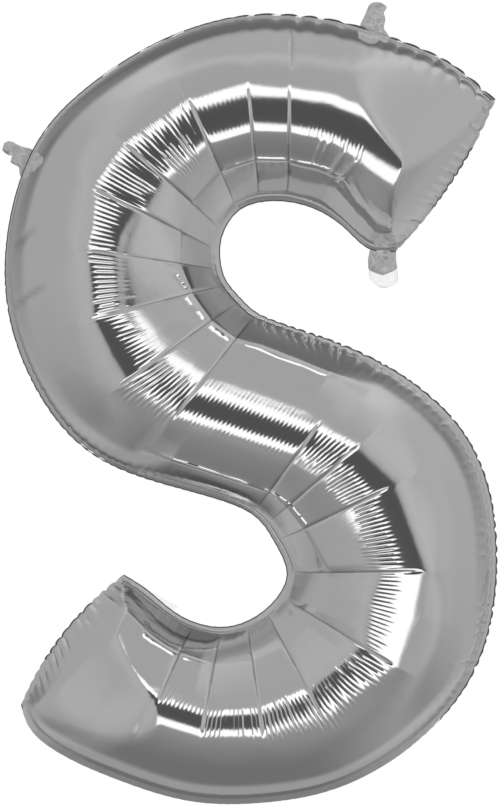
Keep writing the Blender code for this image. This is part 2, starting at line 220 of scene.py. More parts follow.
# In the lower bowl the bay side has no chine either but rounds over evenly: its tilts there,
# and how far the film follows them, by fold number.
BOWL_TILT = ((0, 0.15, 0.24, 0.32, 0.6, 0.8, 0.94, 1), (0, 9, 18, 27, 34, 44, 50, 20))
IN_BOWL = ((0, 14.9, 15.1, 15.9, 16.3, 18.9, 19.3, 20.8, 22, 23), (0, 0, 0.3, 0.3, 1, 1, 0.6, 0.5, 0, 0))

# How sharply the film turns over the crest, by fold number, and how much more sharply it
# does so on the outer side. At sharpness 1 the turn ends at TURN_PLACE.
SHARPNESS = (
    (0, 2, 2.7, 6, 8, 8.6, 9.9, 10.5, 11.5, 12, 13, 14, 14.6, 15.5, 16.5, 17.2, 20, 21),
    (0.7, 0.7, 0.84, 0.88, 0.9, 1.2, 1.2, 1, 1, 0.96, 1, 1, 0.93, 0.8, 1, 1.05, 1.1, 1.1),
)
OUTER_SHARPNESS = ((0, 2.1, 2.9, 4.3, 5.2, 23), (1.35, 1.35, 1.13, 1.13, 1, 1))
TURN_PLACE = 0.24

# Where the chine lies between the crest (0) and the seam (1), by fold number.
CHINE = (
    (0, 2.3, 4.05, 6.02, 8.8, 9.8, 11.8, 12.1, 13, 14.1, 15, 17, 19, 19.9, 21.3, 22.7, 23),
    (0.62, 0.62, 0.615, 0.6, 0.67, 0.725, 0.72, 0.75, 0.735, 0.74, 0.69, 0.64, 0.65, 0.68,
     0.72, 0.75, 0.76),
)

# How far each side faces a bay, from 0 to 1, by fold number.
LOW_FACES_BAY = ((0, 12.9, 13.3, 23), (1, 1, 0, 0))
TOP_FACES_BAY = ((0, 11.7, 12.1, 23), (0, 0, 1, 1))

# The folds between which the film runs straight from crease to crease, and how far out from
# the crest (0) toward the seam (1) it still does so, on the outer side and on the bay side.
CREASED_FROM = (3, 3.8)
CREASED_TO = (19.9, 20.45)
TAUT_OUTER = (0.36, 0.62)
TAUT_BAY = (0.8, 0.99)

# Width of the seam's strip in mm along the top seam and the bottom seam, by fold number, and
# in metres along both ends.
TOP_STRIP = ((0, 0.5, 4.2, 5.5, 8, 11.5, 12.3, 23), (3, 3, 2.6, 1.7, 2, 2.2, 3.6, 3.6))
LOW_STRIP = ((0, 12.5, 13.2, 15.8, 16.6, 23), (3.4, 3.4, 4.6, 4.6, 6, 6))
END_STRIP = 0.0022

# Each terminal: its fold, how far its cut edge bows out, and the facets that fall away from
# a ridge toward the letter's outer corner: a point of the ridge (x, z), the way it falls
# (x, z), its tilt in degrees, how wide its ridge is rounded, in mm, and how deep the fall
# can get before it levels out, in metres.
ENDS = (
    (0, 0.01, ((0.1345, 0.311, 0.83, 0.56, 31, 6, 1), (0.1635, 0.26, 0.99, 0.12, 31, 2, 1))),
    (LAST_FOLD, 0.013, ((-0.104, -0.306, -0.97, -0.24, 19, 2, 0.025),)),
)

# How far in from the terminal's seam the cut edge's bow dies out, in metres, and how many
# folds the terminal's shape takes in at most.
BOW_REACH = 0.1
END_FOLDS = 4

# A facet's ridge opens out by a share of the facet's fall, down to RIDGE_FALL metres. From
# FACETS_END on, a facet gives back FACETS_RISE metres of height for each fold.
RIDGE_OPENS = 0.5
RIDGE_FALL = 0.04
FACETS_END = 2.95
FACETS_RISE = 0.006

# The cap over the terminal's seam: how far in it is at its full height, in metres, and that
# height as a share of the crest's. From CAP_CLEARS of its reach on it climbs out of the
# film's way. Where it meets the film, the two are rounded by CAP_ROUND, less on low film.
CAP_REACH = 0.066
CAP_HEIGHT = 1.12
CAP_CLEARS = 0.85
CAP_CLIMB = 4
CAP_ROUND = 0.004
LOW_FILM = 0.04


def unit(vectors):
    """The same vectors, one long."""
    return vectors / np.maximum(np.linalg.norm(vectors, axis=-1, keepdims=True), 1e-12)


def faces_bay(place, number):
    """How far the film faces a bay, by the table of the side that the place is on."""
    return np.where(place >= 0, by_number(LOW_FACES_BAY, number), by_number(TOP_FACES_BAY, number))


def moved(x, stops, goals):
    """x from 0 to 1, stretched in straight lines so that the stops come to lie at the goals.

    The sum over the stretches of x's share of the stretch times how far its goals lie apart.
    """
    stops = [0, *stops, 1]
    goals = [0, *goals, 1]
    total = 0
    for k in range(len(stops) - 1):
        share = np.clip((x - stops[k]) / (stops[k + 1] - stops[k]), 0, 1)
        total = total + share * (goals[k + 1] - goals[k])
    return total


def inside_strips(place, number, share):
    """Place across the stroke from 0 to 1, with this share of the seam's strip left clear.

    A strip takes up its width over the stroke's, over the sine of the angle between them.
    """
    span = bottom_seam(number) - top_seam(number)
    width = np.linalg.norm(span, axis=1)
    out = span / width[:, None]
    near = np.clip(number, 0.01, LAST_FOLD - 0.01)
    taken = []
    for seam, strip in ((top_seam, TOP_STRIP), (bottom_seam, LOW_STRIP)):
        way = unit(seam(near + 0.01) - seam(near - 0.01))
        sine = np.abs(way[:, 0] * out[:, 1] - way[:, 1] * out[:, 0])
        taken.append(share * by_number(strip, number) / 1000 / (width * sine)[:, None])
    return taken[0] + (place + 1) / 2 * (1 - taken[0] - taken[1])


def section(place, tilt):
    """Height of a section at places from 0 to 1, as a share of its crest's.

    The sum of the tilt's tangent from the place to the seam.
    """
    fine = np.linspace(0, 1, 1001)
    slope = np.tan(np.radians(np.interp(fine, *tilt)))
    fallen = np.append(0, np.cumsum((slope[1:] + slope[:-1]) / 2))
    return 1 - np.interp(place, fine, fallen / fallen[-1])


def across_stroke(off, number):
    """Share of the crest's height, from the distance off the crest.

    The outer side has OUTER_TILT. The bay side has BAY_TILT, with the turn and the chine
    moved to where they lie in this row, and goes over to BOWL_TILT and WEDGE_TILT.
    """
    turn = TURN_PLACE / by_number(SHARPNESS, number)
    outer_turn = turn / by_number(OUTER_SHARPNESS, number)
    outer = section(moved(off, [outer_turn], [TURN_PLACE]), OUTER_TILT)
    bay = moved(off, [turn, by_number(CHINE, number)], [TURN_PLACE, CHINE_PLACE])
    facet = mixed(section(bay, BAY_TILT), section(bay, BOWL_TILT), by_number(IN_BOWL, number))
    facet = mixed(facet, section(off, WEDGE_TILT), by_number(IN_WEDGE, number))
    return mixed(outer, facet, faces_bay(BASE, number))


def smaller(a, b, softness):
    """The smaller of two heights, rounded over where they are nearly the same."""
    near = np.maximum(softness - np.abs(a - b), 0) / softness
    return np.minimum(a, b) - near**2 * softness / 4


def close_end(terminal, plan, place, height, depth, number, inset):
    """Shapes one terminal: the film's place and height with the end's facets and its seam.

    The cut edge bows out as a parabola. Each facet falls in a straight line from its ridge
    and levels out exponentially. The cap rises from the terminal's seam as a parabola.
    """
    knot, bow, facets = terminal
    corner, other = top_seam(knot), bottom_seam(knot)
    along = unit(other - corner)
    inward = np.array([-along[1], along[0]])
    inward = inward * np.sign(np.dot(middle(abs(knot - 0.5)) - corner, inward))
    folds = np.abs(number - knot)[:, None]
    elsewhere = folds > END_FOLDS
    far = (plan - corner) @ inward + elsewhere
    bowed = bow * (1 - place**2) * np.clip(1 - far / BOW_REACH, 0, 1) ** 2
    plan = plan - inward * bowed[..., None]
    release = FACETS_RISE * np.maximum(folds - FACETS_END, 0) + elsewhere
    for x, z, way_x, way_z, tilt, ridge, most in facets:
        fallen = (plan - (x, z)) @ unit(np.array([way_x, way_z])) * math.tan(math.radians(tilt))
        level = most * (1 - np.exp(-np.maximum(fallen, 0) / most))
        fallen = np.minimum(fallen, 0) + level
        rounded = ridge / 1000 + RIDGE_OPENS * np.clip(fallen, 0, RIDGE_FALL)
        height = smaller(height, depth - fallen + release, rounded)
    far = np.maximum(far - inset, 0) / CAP_REACH
    rise = 1 - (1 - np.clip(far, 0, 1)) ** 2
    cap = depth * (CAP_HEIGHT * rise + CAP_CLIMB * np.maximum(far - CAP_CLEARS, 0))
    return plan, smaller(height, cap, CAP_ROUND * np.clip(height / LOW_FILM, 0.02, 1))


def film(share):
    """Film's place (x, z), place across the stroke and off the crest, and height over the seam.

    The share is 0 for an outline at the seam's outer edge, 1 for one at its inner edge.

    Across: the arc's place, with the chine moved to where it lies and the crest shifted, and
    the height of across_stroke. Along: straight from crease to crease where the film is
    taut, smooth elsewhere. The two terminals are closed last.
    """
    inset = share * END_STRIP
    walked = np.interp(ROWS, FINE, WALKED)
    number = np.interp(inset + walked * (LENGTH - 2 * inset) / LENGTH, WALKED, FINE)
    creased = (ramp(number, *CREASED_FROM) * fade(number, *CREASED_TO))[:, None]
    crest = mixed(eased(CREST, number), straight(CREST), creased)
    bay_side = faces_bay(BASE, number)
    at_chine = np.sign(BASE) * moved(np.abs(BASE), [CHINE_PLACE], [by_number(CHINE, number)])
    place = mixed(BASE, at_chine, bay_side)
    place = place + crest * (1 - place**2) ** 2
    off = np.abs(place - crest * (1 - place**2) ** 2)
    taut = mixed(fade(np.abs(place), *TAUT_OUTER), fade(np.abs(place), *TAUT_BAY), bay_side)
    taut = taut * creased
    crown = taut[..., None]
    top = mixed(top_seam(number)[:, None], straight(top_seam(EDGE))[:, None], crown)
    bottom = mixed(bottom_seam(number)[:, None], straight(bottom_seam(EDGE))[:, None], crown)
    plan = mixed(top, bottom, inside_strips(place, number, share)[..., None])
    depth = mixed(eased(HEIGHT, number), straight(HEIGHT), taut) / 1000
    height = depth * across_stroke(off, number)
    for terminal in ENDS:
        plan, height = close_end(terminal, plan, place, height, depth, number, inset)
    return plan, place, off, np.maximum(height, 0)


# Stretches of ribs: fold numbers from and to, the stretch's two edges across the stroke at
# its start and at its end, and the slope of a rib's flank in degrees.
RIBS = (
    (1.95, 3.75, 0.16, 0.38, 0.12, 0.32, 11),
    (3.75, 5.07, 0.08, 0.24, 0.08, 0.22, 3),
    (5.07, 6.07, -0.3, 0.24, -0.3, 0.24, 4),
    (6.07, 7.2, -0.34, 0.14, -0.34, 0.14, 13),
    (6.35, 6.95, 0.02, 0.3, 0.02, 0.3, 14),
    (7.2, 8.1, -0.32, 0.22, -0.32, 0.18, 12),
    (8.1, 8.9, -0.38, -0.01, -0.36, -0.01, 11),
    (8.9, 9.95, -0.25, 0.07, -0.23, 0.08, 19),
    (9.95, 10.92, -0.18, 0.1, -0.15, 0.11, 12),
    (10.92, 11.85, -0.38, 0.11, -0.36, 0.1, 17),
    (11.85, 13.12, -0.3, 0.16, -0.3, 0.16, 5),
    (13.12, 13.55, -0.24, 0.14, -0.24, 0.14, 13),
    (13.55, 14.08, -0.27, 0, -0.27, 0, 13),
    (14.08, 15.02, -0.26, 0.05, -0.26, 0.07, 17),
    (15.02, 16.09, -0.14, 0.12, -0.14, 0.12, 8),
    (16.09, 17, -0.04, 0.3, -0.02, 0.42, 17),
    (17, 17.96, -0.05, 0.36, -0.05, 0.34, 19),
    (17.96, 19.02, -0.1, 0.28, -0.1, 0.28, 15),
    (19.02, 19.95, -0.14, 0.04, -0.2, 0.02, 13),
)

# How wide a rib's ends fade across the stroke, how far they stray, and how much one rib's
# height varies from the next's, as a share.
RIB_FADE = 0.035
RIB_STRAYS = 0.03
RIB_VARIES = 0.25


def ribs(place, seed):
    """Gathers on the crest: each rib is a shallow arch with a sharp valley on both sides.

    A parabola over the rib's pitch, as tall as its flank's slope gives, between the
    stretch's two edges. Each rib is a little stronger and longer or shorter by chance.
    """
    rng = np.random.default_rng(seed)
    count = RIB_COUNTS.sum() + 1
    rib = np.minimum(RIB_PHASE.astype(int), count - 1)
    within = RIB_PHASE - rib - 0.5
    arch = 1 / 12 - within**2
    strength = 1 + RIB_VARIES * rng.standard_normal(count)
    stray = RIB_STRAYS * rng.standard_normal((2, count))
    total = np.zeros_like(place)
    for start, stop, low_a, high_a, low_b, high_b, slope in RIBS:
        share = np.clip((ROWS - start) / (stop - start), 0, 1)
        low = (mixed(low_a, low_b, share) + stray[0][rib])[:, None]
        high = (mixed(high_a, high_b, share) + stray[1][rib])[:, None]
        on = ramp(place, low - RIB_FADE, low + RIB_FADE) * fade(place, high - RIB_FADE, high + RIB_FADE)
        inside = (ROWS >= start) & (ROWS < stop)
        tall = np.tan(math.radians(slope)) * RIB_PITCH * strength[rib] * arch * inside
        total += on * tall[:, None]
    return total


# The valley of a crease: its depth and half width, and the half width of the painted shade line
# along its bottom, in metres. Only the folds inside GROOVED have one.
FOLD_GROOVE = 0.00065
FOLD_GROOVE_WIDTH = 0.0025
FOLD_SHADE_WIDTH = 0.0004
GROOVED = (3.5, 20.2)

# How far from the crest toward the bay a valley starts, by fold number, and between which
# places across the stroke it ends. The painted shade line starts and ends between its own.
GROOVE_STARTS = ((0, 13.4, 14, 19, 19.5, 23), (-0.2, -0.2, -0.11, -0.11, 0.1, 0.1))
GROOVE_STARTS_OVER = (-0.08, 0.08)
GROOVE_ENDS = (0.75, 0.93)
SHADE_STARTS = (0.0, 0.3)
SHADE_ENDS = (0.85, 0.98)

# Which side of the stroke the creases are on: 1 the bottom seam's, -1 the top seam's.
CREASED_SIDE = ((0, 12, 13, LAST_FOLD), (1, 1, -1, -1))


def grooves(place, plan):
    """The creases: a narrow valley on every fold, over the crest and the bay side.

    The valley's height, and the painted shade along its bottom, from 0 to 1. Both come
    from the distance to the nearest crease, and end a little way in from the seam.
    """
    starts = np.searchsorted(ROWS, EDGE)
    lengths = np.linalg.norm(np.diff(plan[starts], axis=0), axis=2)[BLOCK]
    away = np.minimum(SHARE, 1 - SHARE)[:, None] * lengths
    side = by_number(CREASED_SIDE, ROWS)
    bay = side * place
    past_start = bay - side * by_number((EDGE, CREST), ROWS) - by_number(GROOVE_STARTS, ROWS)
    reach = ramp(past_start, *GROOVE_STARTS_OVER) * fade(bay, *GROOVE_ENDS)
    grooved = ((ROWS > GROOVED[0]) & (ROWS < GROOVED[1]))[:, None]
    valley = -FOLD_GROOVE * np.maximum(1 - away / FOLD_GROOVE_WIDTH, 0) * reach * grooved
    # Painted shade: a dark line along the crease's bottom, for the material.
    painted_shade = (away < FOLD_SHADE_WIDTH) * ramp(bay, *SHADE_STARTS) * fade(bay, *SHADE_ENDS) * grooved
    return valley, painted_shade


# Thin welts along the chine: fold numbers from and to, how far from the chine across the
# stroke toward the seam at the start and at the end, and height in mm. Each rises gently on
# the crest's side and falls steeply on the seam's, over these widths in metres.
WELTS = (
    (2.5, 4.05, 0.015, 0.01, 1.2),
    (2.3, 4.05, -0.036, -0.036, 1.2),
    (4.1, 6.02, -0.036, -0.036, 1.2),
    (8.86, 9.85, -0.07, -0.015, 1),
    (9.95, 10.86, -0.045, -0.03, 0.8),
    (10.95, 11.8, -0.036, -0.036, 1),
    (11.9, 12.95, -0.036, -0.036, 1),
    (13, 14.1, -0.036, -0.036, 1),
    (19.02, 19.9, -0.036, -0.036, 1),
    (19.9, 21.3, -0.036, -0.036, 1),
)
WELT_RISE = 0.0027
WELT_FALL = 0.0009
WELT_ENDS = 0.08
WELT_STEPS = 260


def welts(place, off, seed):
    """Narrow welts along the chine, a little uneven along their length.

    A straight slope up to the welt's line and another down, by the distance from the line.
    """
    half = np.linalg.norm(bottom_seam(ROWS) - top_seam(ROWS), axis=1)[:, None] / 2
    rng = np.random.default_rng(seed + 50)
    steps = np.linspace(0, LAST_FOLD, WELT_STEPS)
    uneven = np.interp(ROWS, steps, rng.uniform(0.75, 1.2, WELT_STEPS))
    chine = np.interp(ROWS, *CHINE)
    total = np.zeros_like(place)
    for start, stop, off_a, off_b, tall in WELTS:
        share = np.clip((ROWS - start) / (stop - start), 0, 1)
        line = chine + mixed(off_a, off_b, share)
        ends = ramp(np.minimum(ROWS - start, stop - ROWS), 0, WELT_ENDS) * uneven
        beyond = (off - line[:, None]) * half
        slope = np.where(beyond < 0, beyond / WELT_RISE + 1, 1 - beyond / WELT_FALL)
        total += tall / 1000 * ends[:, None] * np.clip(slope, 0, 1)
    return total * faces_bay(place, ROWS)


# Small dents, and raised creases with a depth below 0, off the folds: from (x, z) to (x, z)
# in metres, depth in mm and half width in mm.
DENTS = (
    (0.043, 0.413, 0.0441, 0.37, 2.0, 2.4),
    (-0.256, 0.177, -0.2357, 0.1949, 1.6, 3.6),
    (-0.259, 0.1118, -0.2248, 0.1317, 1.6, 3.6),
    (0.258, -0.176, 0.252, -0.201, 1.2, 2.2),
    (0.076, 0.29, 0.064, 0.256, -1.0, 2.0),
    (0.083, 0.287, 0.068, 0.254, -1.0, 2.0),
    (0.1, 0.276, 0.079, 0.245, -1.0, 2.0),
    (0.112, 0.265, 0.086, 0.237, -1.0, 2.0),
    (0.0942, 0.258, 0.1355, 0.1883, -0.9, 2.0),
    (0.1029, 0.258, 0.141, 0.1905, -0.9, 2.0),
    (0.0855, 0.2536, 0.129, 0.1883, -0.9, 2.0),
    (-0.1388, -0.1949, -0.1105, -0.2319, -1.2, 2.0),
    (-0.1345, -0.1927, -0.104, -0.2275, -1.2, 2.0),
    (-0.1442, -0.2014, -0.1192, -0.2319, -1.2, 2.0),
)


def dents(plan):
    """Straight narrow valleys and raised creases: height, and painted shade in the valleys.

    A bell curve of the distance off the line, times a wide one along it.
    """
    total = np.zeros(plan.shape[:2])
    painted_shade = np.zeros(plan.shape[:2])
    for x0, z0, x1, z1, deep, wide in DENTS:
        start, way = np.array([x0, z0]), np.array([x1 - x0, z1 - z0])
        share = ((plan - start) @ way) / (way @ way)
        nearest = start + np.clip(share, 0, 1)[..., None] * way
        off = np.linalg.norm(plan - nearest, axis=-1)
        lengthwise = bell(share - 0.5, 0.6)
        total -= deep / 1000 * bell(off, wide / 1000) * lengthwise
        # Painted shade along the bottom of each dent.
        painted_shade += 0.5 * (deep > 0) * bell(off, wide / 1200) * lengthwise
    return total, painted_shade


# Length of the lobes of the cut edge between one notch and the next in mm, and how deep the
# notches go in mm, along the top seam, the bottom seam and the two ends.
TOP_LOBES = ((0, 4, 5.5, 12, 23), (22, 26, 10, 10, 10))
TOP_NOTCHES = ((0, 4.6, 5.4, 8.6, 9.2, 11.8, 12.4, 23), (4.8, 4.4, 0.6, 0.6, 1.6, 1.6, 0.4, 0.4))
LOW_LOBES = ((0, 12, 13, 16, 23), (10, 10, 11, 11, 12))
LOW_NOTCHES = ((0, 11.8, 12.6, 15.8, 16.6, 23), (0.4, 0.4, 3.2, 3.2, 0.3, 0.4))
END_LOBES = 12
END_NOTCHES = 2.8

# How far in from the edge a notch still draws the film, in metres, and the depth of the
# dimple behind it as a share of the notch's.
NOTCH_REACH = 0.012
DIMPLE = 0.2


def scallops(line, lobes, notches, seed):
    """The cut edge's round lobes, with a sharp notch where one meets the next.

    How far each point is drawn in, and its lobe's swell: 0 at a notch, 1 in the middle. The
    swell is 1 less a power of the distance from the lobe's middle. By chance a lobe is 0.7 to
    1.3 times as long as given, and a notch half as deep to as deep.
    """
    rng = np.random.default_rng(seed)
    along = running(line)
    places = [-rng.uniform(0, 0.5) * lobes[0] / 1000]
    while places[-1] < along[-1]:
        at = np.interp(places[-1], along, lobes)
        places.append(places[-1] + rng.uniform(0.7, 1.3) * at / 1000)
    places = np.array(places)
    lobe = np.clip(np.searchsorted(places, along, side="right") - 1, 0, len(places) - 2)
    within = (along - places[lobe]) / (places[lobe + 1] - places[lobe])
    swell = 1 - np.abs(2 * within - 1) ** 2.5
    depths = rng.uniform(0.5, 1.0, len(places))[np.where(within < 0.5, lobe, lobe + 1)]
    return depths * notches / 1000 * (1 - swell), swell


def draw_in(outline, plan, height, edge, bites):
    """Moves one edge of the outline and of the film in by the bites, with a dimple behind each.

    The film behind follows by a bell curve of its distance from the edge.
    """
    inward = unit(plan[edge] - outline[edge])
    bites[[0, -1]] = 0
    drawn = inward * bites[:, None]
    outline[edge] += drawn
    out = (slice(None), None) if isinstance(edge, tuple) else (None, slice(None))
    off = np.linalg.norm(plan - plan[edge][out], axis=2)
    plan += drawn[out] * bell(off, NOTCH_REACH)[..., None]
    height -= DIMPLE * bites[out] * bell(off - NOTCH_REACH, NOTCH_REACH) * (height > STRIP_TOP)


SEAM_SWAY = 0.00015


def seam_sway(line, seed):
    """How far the seam's outer edge bends out of its plane, the same for both films.

    Straight lines between random heights, 8 to 22 mm apart.
    """
    rng = np.random.default_rng(seed)
    along = running(line)
    places = np.cumsum(rng.uniform(0.008, 0.022, int(along[-1] / 0.012)))
    return SEAM_SWAY * np.interp(along, places, rng.uniform(-1, 1, len(places)))


def add_mesh(name, points, faces, material, sharp=None, mark=None):
    """A smooth mesh from an array of points and arrays of faces with 4 or 5 corners.

    The mark is a value from 0 to 1 for each point, for the material.
    """
    corners = np.concatenate([block.ravel() for block in faces])
    used, renumbered = np.unique(corners, return_inverse=True)
    sizes = np.concatenate([np.full(len(block), block.shape[1]) for block in faces])
    mesh = bpy.data.meshes.new(name)
    mesh.vertices.add(len(used))
    mesh.vertices.foreach_set("co", points[used].ravel())
    mesh.loops.add(int(sizes.sum()))
    mesh.loops.foreach_set("vertex_index", renumbered.astype(np.int32))
    mesh.polygons.add(len(sizes))
    starts = np.append(0, np.cumsum(sizes)[:-1])
    mesh.polygons.foreach_set("loop_start", starts.astype(np.int32))
    mesh.update(calc_edges=True)
    mesh.validate()
    mesh.shade_smooth()
    if sharp:
        mesh.set_sharp_from_angle(angle=math.radians(sharp))
    if mark is not None:
        mesh.attributes.new("mark", "FLOAT", "POINT").data.foreach_set("value", mark[used])
    mesh.materials.append(material)
    piece = bpy.data.objects.new(name, mesh)
    bpy.context.scene.collection.objects.link(piece)
    return piece


def quads(grid):
    """Four-cornered faces of a grid of point numbers."""
    a, b, c, d = grid[:-1, :-1], grid[:-1, 1:], grid[1:, 1:], grid[1:, :-1]
    return np.stack([a.ravel(), b.ravel(), c.ravel(), d.ravel()], axis=1)


def panel_faces(grid, low, high):
    """Faces of a grid whose columns from low to high use every row, the others every other.

    Where the two meet, faces with five corners close the gap.
    """
    half = grid[::2]
    blocks = [quads(grid[:, low : high + 1]), quads(half[:, :low]), quads(half[:, high + 1 :])]
    for inner, outer, flip in ((low, low - 1, False), (high, high + 1, True)):
        fine, rough = grid[:, inner], grid[::2, outer]
        five = np.stack([rough[:-1], fine[:-2:2], fine[1:-1:2], fine[2::2], rough[1:]], axis=1)
        blocks.append(five[:, ::-1] if flip else five)
    return blocks


def srgb(text):
    """An sRGB hex colour as linear red, green, blue and alpha."""
    parts = [int(text[i : i + 2], 16) / 255 for i in (0, 2, 4)]
    return [c / 12.92 if c <= 0.04045 else ((c + 0.055) / 1.055) ** 2.4 for c in parts] + [1]


def add_node(tree, kind, inputs, **settings):
    """Adds a node with its settings. Each input is linked to a socket or filled with a value."""
    node = tree.nodes.new("ShaderNode" + kind)
    for key, value in settings.items():
        setattr(node, key, value)
    for key, value in inputs.items():
        if isinstance(value, bpy.types.NodeSocket):
            tree.links.new(value, node.inputs[key])
        else:
            node.inputs[key].default_value = value
    return node


def new_material(name):
    """A node material with nothing in it yet, and its tree."""
    material = bpy.data.materials.new(name)
    material.use_nodes = True
    material.node_tree.nodes.clear()
    return material, material.node_tree


# The film's slack shows as soft puckers, this far apart and this deep in metres. The metal is
# bright, with a darker grey painted along creases and dents as painted shade.
PUCKER_MM = 33
PUCKER_DEPTH = 0.0006
METAL = "F3F3F3"
PAINTED_SHADE_METAL = "ACACAC"


def aluminised_film(name, roughness, slack):
    """Polyester film with aluminium laid on it in vacuum: a thin bright skin of metal.

    The eye sees no colour of its own in it, only the room, nearly as sharp as in a mirror
    where the film is taut and blurred where it is slack and crumpled.
    """
    material, tree = new_material(name)
    place = add_node(tree, "TexCoord", {}).outputs["Object"]
    puckers = {"Vector": place, "Scale": 1000 / PUCKER_MM, "Detail": 4.0, "Roughness": 0.5}
    height = add_node(tree, "TexNoise", puckers).outputs["Fac"]
    bump = add_node(tree, "Bump", {"Height": height, "Strength": slack, "Distance": PUCKER_DEPTH})
    # Painted shade: the metal colour goes over to a darker grey along creases and dents.
    painted_shade = add_node(tree, "Attribute", {}, attribute_name="mark").outputs["Fac"]
    coat = add_node(tree, "MixRGB", {"Fac": painted_shade, "Color1": srgb(METAL), "Color2": srgb(PAINTED_SHADE_METAL)})
    skin = {
        "Base Color": coat.outputs["Color"],
        "Metallic": 1.0,
        "Roughness": roughness,
        "Normal": bump.outputs["Normal"],
    }
    shader = add_node(tree, "BsdfPrincipled", skin)
    add_node(tree, "OutputMaterial", {"Surface": shader.outputs["BSDF"]})
    return material


bright_film = aluminised_film("aluminised polyester film", 0.1, 0.35)

# The seam's strip slopes down from the film to a narrow rim that lies flat, and that is
# wider in the middle of a lobe where the notches are deep. The rim lies less flat where the
# bottom seam runs under the lower bowl: how flat, by fold number.
STRIP_TILT = math.radians(27)
RIM = 0.0013
RIM_SWELLS = 1.6
LOW_RIM = ((0, 16, 17, 22.4, 23), (1, 1, 0.1, 0.1, 1))

# Film that stands higher than this over the seam's plane carries the ribs and folds, and
# the creases have their full depth from CREASE_HEIGHT on.
STRIP_TOP = 0.004
CREASE_HEIGHT = 0.03

# Half the gap between the two films at the cut edge, and how much further apart they are at
# the rim's inner side, along the sides and along the ends.
HALF_GAP = 0.00005
RIM_OPENS = 0.00002
END_OPENS = 0.0001
SHARP_FOLD = 18


def end_rows(outline, plan):
    """The two rows outside a terminal's film: the cut edge, and the inner side of its rim."""
    cut = np.concatenate([outline[[0, 0]], outline, outline[[-1, -1]]])
    return cut, mixed(cut, plan, RIM / END_STRIP)


def film_panel(name, side, seed, material):
    """One panel: the film's grid, and round it the seam's strip, its rim and the cut edge.

    The height is the film's, plus the ribs, welts, creases and dents, plus the strip's
    slope. The side is -1 for the front and 1 for the back, and multiplies the height.
    """
    plan, place, off, height = film(1)
    outline = film(0)[0]
    valley, creased = grooves(place, plan)
    dented, dent_lines = dents(plan)
    valley = valley * np.clip(height / CREASE_HEIGHT, 0, 1)
    relief = ribs(place, seed) + welts(place, off, seed) + valley + dented
    height = height + (height > STRIP_TOP) * relief
    rims = []
    for k, lobes, notches in ((0, TOP_LOBES, TOP_NOTCHES), (-1, LOW_LOBES, LOW_NOTCHES)):
        edge = (slice(None), k)
        notches = np.interp(ROWS, *notches)
        bites, swell = scallops(outline[edge], np.interp(ROWS, *lobes), notches, 5 - k)
        draw_in(outline, plan, height, edge, bites)
        rims.append(RIM * (1 + RIM_SWELLS * (swell - 0.5) * np.clip(notches / 3 - 0.3, 0, 1)))
    for edge in (0, -1):
        same = np.ones(outline.shape[1])
        bites = scallops(outline[edge], END_LOBES * same, END_NOTCHES * same, 8 + edge)[0]
        draw_in(outline, plan, height, edge, bites)
    low = (place + 1) / 2
    strip = mixed(by_number(TOP_STRIP, ROWS), by_number(LOW_STRIP, ROWS), low) / 1000
    flat = mixed(1, by_number(LOW_RIM, ROWS), low)
    lip = (strip - RIM) * math.tan(STRIP_TILT)
    height = np.maximum(height, 0) + lip
    edge_y = side * np.stack([seam_sway(outline[:, k], 31 + k) for k in (0, -1)], axis=1) + HALF_GAP
    rim_y = edge_y + RIM_OPENS + ((1 - flat) * lip * RIM / strip)[:, [0, -1]]
    wide = [np.minimum(rims[k] / strip[:, k], 0.85)[:, None] for k in (0, -1)]
    top_rim, low_rim = [mixed(outline[:, k], plan[:, k], wide[k])[:, None] for k in (0, -1)]
    plan = np.concatenate([outline[:, :1], top_rim, plan, low_rim, outline[:, -1:]], axis=1)
    height = np.concatenate([edge_y[:, :1], rim_y[:, :1], height, rim_y[:, 1:], edge_y[:, 1:]], axis=1)
    first = end_rows(outline[0], plan[0])
    last = end_rows(outline[-1], plan[-1])
    plan = np.concatenate([np.stack(first), plan, np.stack(last[::-1])])
    cut_row = np.full_like(height[:1], HALF_GAP)
    height = np.concatenate([cut_row, cut_row + END_OPENS, height, cut_row + END_OPENS, cut_row])
    points = np.stack([plan[..., 0], side * height, plan[..., 1]], axis=-1)
    # Painted shade along the creases and dents, handed to the material as the mark.
    painted_shade = np.pad(np.clip(creased + dent_lines, 0, 1), 2)
    grid = np.arange(height.size).reshape(height.shape)
    blocks = panel_faces(grid, SIDE_COLUMNS + 2, height.shape[1] - 3 - SIDE_COLUMNS)
    if side > 0:
        blocks = [block[:, ::-1] for block in blocks]
    return add_mesh(name, points.reshape(-1, 3), blocks, material, SHARP_FOLD, painted_shade.ravel())


front_film = film_panel("front_film", -1, 3, bright_film)
back_film = film_panel("back_film", 1, 4, bright_film)
for piece, node in ((front_film, "front_panel"), (back_film, "back_panel")):
    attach(piece, "root")
    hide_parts(node)

# Hang tabs
#
# Two tongues of both films, cut in one with the seam and not welded flat. They stand out of
# the seam's edge, a little puffed and crumpled from handling. The left one has curled over.

# The two long edges of each tab, from the seam out to the tab's end, as (x, z) in metres.
TAB_EDGES = {
    "top_tab": (
        ((0.1178, 0.414), (0.1186, 0.419), (0.1217, 0.4253), (0.1254, 0.4335), (0.1285, 0.44),
         (0.134, 0.4428)),
        ((0.152, 0.402), (0.148, 0.4085), (0.1443, 0.415), (0.1456, 0.425), (0.1443, 0.4318),
         (0.1472, 0.437), (0.1405, 0.4425)),
    ),
    "left_tab": (
        ((-0.2385, 0.282), (-0.241, 0.2836), (-0.2484, 0.2852), (-0.2575, 0.2892),
         (-0.2638, 0.2914), (-0.269, 0.289)),
        ((-0.25, 0.25), (-0.2526, 0.257), (-0.2532, 0.2625), (-0.257, 0.2655),
         (-0.2622, 0.2695), (-0.259, 0.2745), (-0.264, 0.2762), (-0.2712, 0.2815)),
    ),
}
TAB_GRID = (90, 70)

